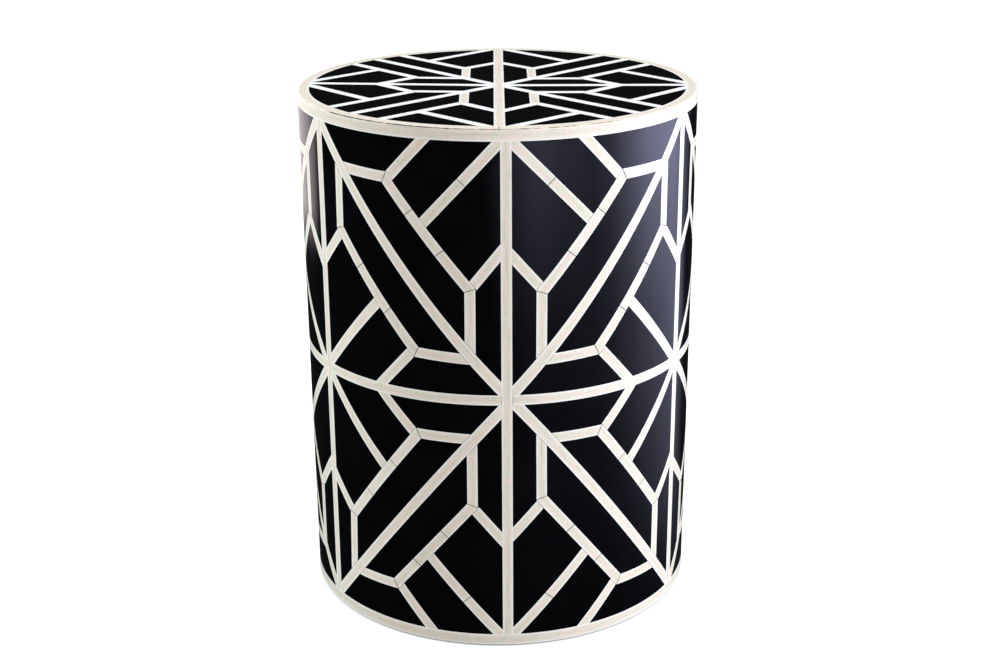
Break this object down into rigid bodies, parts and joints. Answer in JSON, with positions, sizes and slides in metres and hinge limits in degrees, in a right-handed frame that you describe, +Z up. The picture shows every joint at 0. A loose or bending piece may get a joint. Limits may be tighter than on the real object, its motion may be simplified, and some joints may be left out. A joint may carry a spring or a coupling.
{
  "type": "drum side table",
  "caption": "Round drum side table with a geometric lattice of bone strips inlaid flush in gloss black on its wall and top.",
  "frame": {"origin": "on the floor, under the centre of the drum", "axes": "+Z up along the drum's axis; -Y is the front, where a main stile crosses the waist; +X is to the right of someone facing the front"},
  "size_m": [0.38, 0.38, 0.5],
  "materials": {
    "bone": "polished bone, warm ivory, satin gloss",
    "black_resin": "polished gloss black resin",
    "filler": "dark brown glue line, matt",
    "carcass_wood": "bare plywood, sanded",
    "nylon": "moulded nylon, matt",
    "steel": "zinc plated steel"
  },
  "bodies": {
    "root": {"top_board": "carcass_wood", "base_board": "carcass_wood", "waist_hoop": "carcass_wood", "batten_1": "carcass_wood", "wall_panel_1": "carcass_wood", "batten_2": "carcass_wood", "wall_panel_2": "carcass_wood", "batten_3": "carcass_wood", "wall_panel_3": "carcass_wood", "batten_4": "carcass_wood", "wall_panel_4": "carcass_wood", "batten_5": "carcass_wood", "wall_panel_5": "carcass_wood", "batten_6": "carcass_wood", "wall_panel_6": "carcass_wood", "top_screws": "steel", "base_screws": "steel", "glide_nails": "steel", "glide_1": "nylon", "glide_2": "nylon", "glide_3": "nylon", "glide_4": "nylon", "stile_1": "bone", "stile_2": "bone", "stile_3": "bone", "stile_4": "bone", "stile_5": "bone", "stile_6": "bone", "waist_band": "bone", "top_edge_band": "bone", "bottom_edge_band": "bone", "top_rim_ring": "bone", "rim_filler_line": "filler", "wall_lattice_1": "bone", "wall_cells_1": "black_resin", "wall_lattice_2": "bone", "wall_cells_2": "black_resin", "wall_lattice_3": "bone", "wall_cells_3": "black_resin", "wall_lattice_4": "bone", "wall_cells_4": "black_resin", "wall_lattice_5": "bone", "wall_cells_5": "black_resin", "wall_lattice_6": "bone", "wall_cells_6": "black_resin", "top_cross": "bone", "top_lattice_1": "bone", "top_cells_1": "black_resin", "top_lattice_2": "bone", "top_cells_2": "black_resin", "top_lattice_3": "bone", "top_cells_3": "black_resin", "top_lattice_4": "bone", "top_cells_4": "black_resin"}
  },
  "joints": []
}
